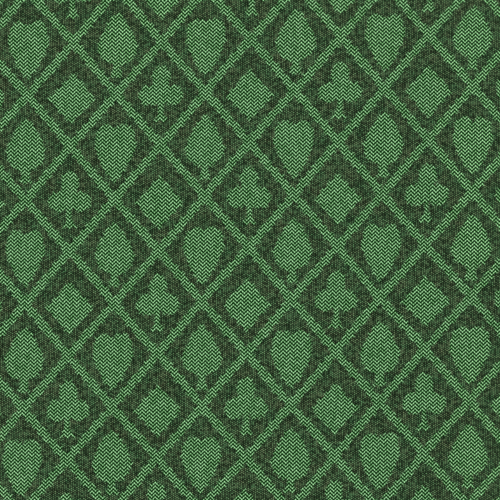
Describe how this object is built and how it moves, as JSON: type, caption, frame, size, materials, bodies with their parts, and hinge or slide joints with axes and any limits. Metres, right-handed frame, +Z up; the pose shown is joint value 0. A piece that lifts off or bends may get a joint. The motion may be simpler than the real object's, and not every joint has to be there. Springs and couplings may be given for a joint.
{
  "type": "folding poker table top",
  "caption": "Rounded card table top that folds in half on side pivots, with a suit-patterned green cloth, padded rail, cup holders, swing hooks, slide bolts and carrying handles.",
  "frame": {"origin": "middle of the seam between the halves, on the surface that the feet stand on, with the top open", "axes": "+X along the length, from the left half to the right half; +Y across, to the back; +Z up"},
  "size_m": [1.8266, 0.9198, 0.073],
  "materials": {
    "laminate": "satin",
    "board": "matte",
    "foam": "matte",
    "speed_cloth": "matte",
    "skirt_wood": "satin",
    "rail_vinyl": "satin",
    "steel": "satin",
    "black_steel": "satin",
    "rubber": "matte",
    "handle_plastic": "satin"
  },
  "bodies": {
    "left_half": {"left_base_panel": "laminate", "left_deck_board": "board", "left_surface_foam": "foam", "left_speed_cloth": "speed_cloth", "left_skirt": "skirt_wood", "left_rail_core": "board", "left_rail_foam": "foam", "left_rail_cover": "rail_vinyl", "left_cup_holder_1": "steel", "left_cup_holder_2": "steel", "left_cup_holder_3": "steel", "left_cup_holder_4": "steel", "left_foot_1": "rubber", "left_foot_2": "rubber", "left_foot_3": "rubber", "left_foot_4": "rubber", "left_foot_5": "rubber", "left_front_handle_bracket": "handle_plastic", "left_back_handle_bracket": "handle_plastic", "front_inner_pivot_plate": "black_steel", "back_inner_pivot_plate": "black_steel", "front_pivot_pin": "steel", "back_pivot_pin": "steel", "front_hook_plate": "steel", "back_hook_plate": "steel", "front_bolt_guide": "steel", "back_bolt_guide": "steel"},
    "right_half": {"right_base_panel": "laminate", "right_deck_board": "board", "right_surface_foam": "foam", "right_speed_cloth": "speed_cloth", "right_skirt": "skirt_wood", "right_rail_core": "board", "right_rail_foam": "foam", "right_rail_cover": "rail_vinyl", "right_cup_holder_1": "steel", "right_cup_holder_2": "steel", "right_cup_holder_3": "steel", "right_cup_holder_4": "steel", "right_foot_1": "rubber", "right_foot_2": "rubber", "right_foot_3": "rubber", "right_foot_4": "rubber", "right_foot_5": "rubber", "right_front_handle_bracket": "handle_plastic", "right_back_handle_bracket": "handle_plastic", "front_outer_pivot_plate": "black_steel", "back_outer_pivot_plate": "black_steel", "front_catch_stud": "steel", "back_catch_stud": "steel", "front_bolt_keeper": "steel", "back_bolt_keeper": "steel"},
    "left_handle": {"left_handle": "handle_plastic"},
    "right_handle": {"right_handle": "handle_plastic"},
    "front_hook": {"front_swing_hook": "steel"},
    "back_hook": {"back_swing_hook": "steel"},
    "front_bolt": {"front_slide_bolt": "black_steel"},
    "back_bolt": {"back_slide_bolt": "black_steel"}
  },
  "joints": [
    {"name": "fold", "type": "hinge", "parent": "left_half", "child": "right_half", "pos_m": [0, 0, 0.063], "axis": [0, -1, 0], "range_deg": [0, 180]},
    {"name": "left_handle_swing", "type": "hinge", "parent": "left_half", "child": "left_handle", "pos_m": [-0.908, 0, 0.046], "axis": [0, 1, 0], "range_deg": [0, 110]},
    {"name": "right_handle_swing", "type": "hinge", "parent": "right_half", "child": "right_handle", "pos_m": [0.908, 0, 0.046], "axis": [0, -1, 0], "range_deg": [0, 110]},
    {"name": "front_hook_swing", "type": "hinge", "parent": "left_half", "child": "front_hook", "pos_m": [-0.904, -0.112, 0.048], "axis": [-1, 0, 0], "range_deg": [0, 180]},
    {"name": "back_hook_swing", "type": "hinge", "parent": "left_half", "child": "back_hook", "pos_m": [-0.904, 0.112, 0.048], "axis": [1, 0, 0], "range_deg": [0, 180]},
    {"name": "front_bolt_slide", "type": "slide", "parent": "left_half", "child": "front_bolt", "axis": [1, 0, 0], "range_m": [0, 0.028]},
    {"name": "back_bolt_slide", "type": "slide", "parent": "left_half", "child": "back_bolt", "axis": [1, 0, 0], "range_m": [0, 0.028]}
  ]
}
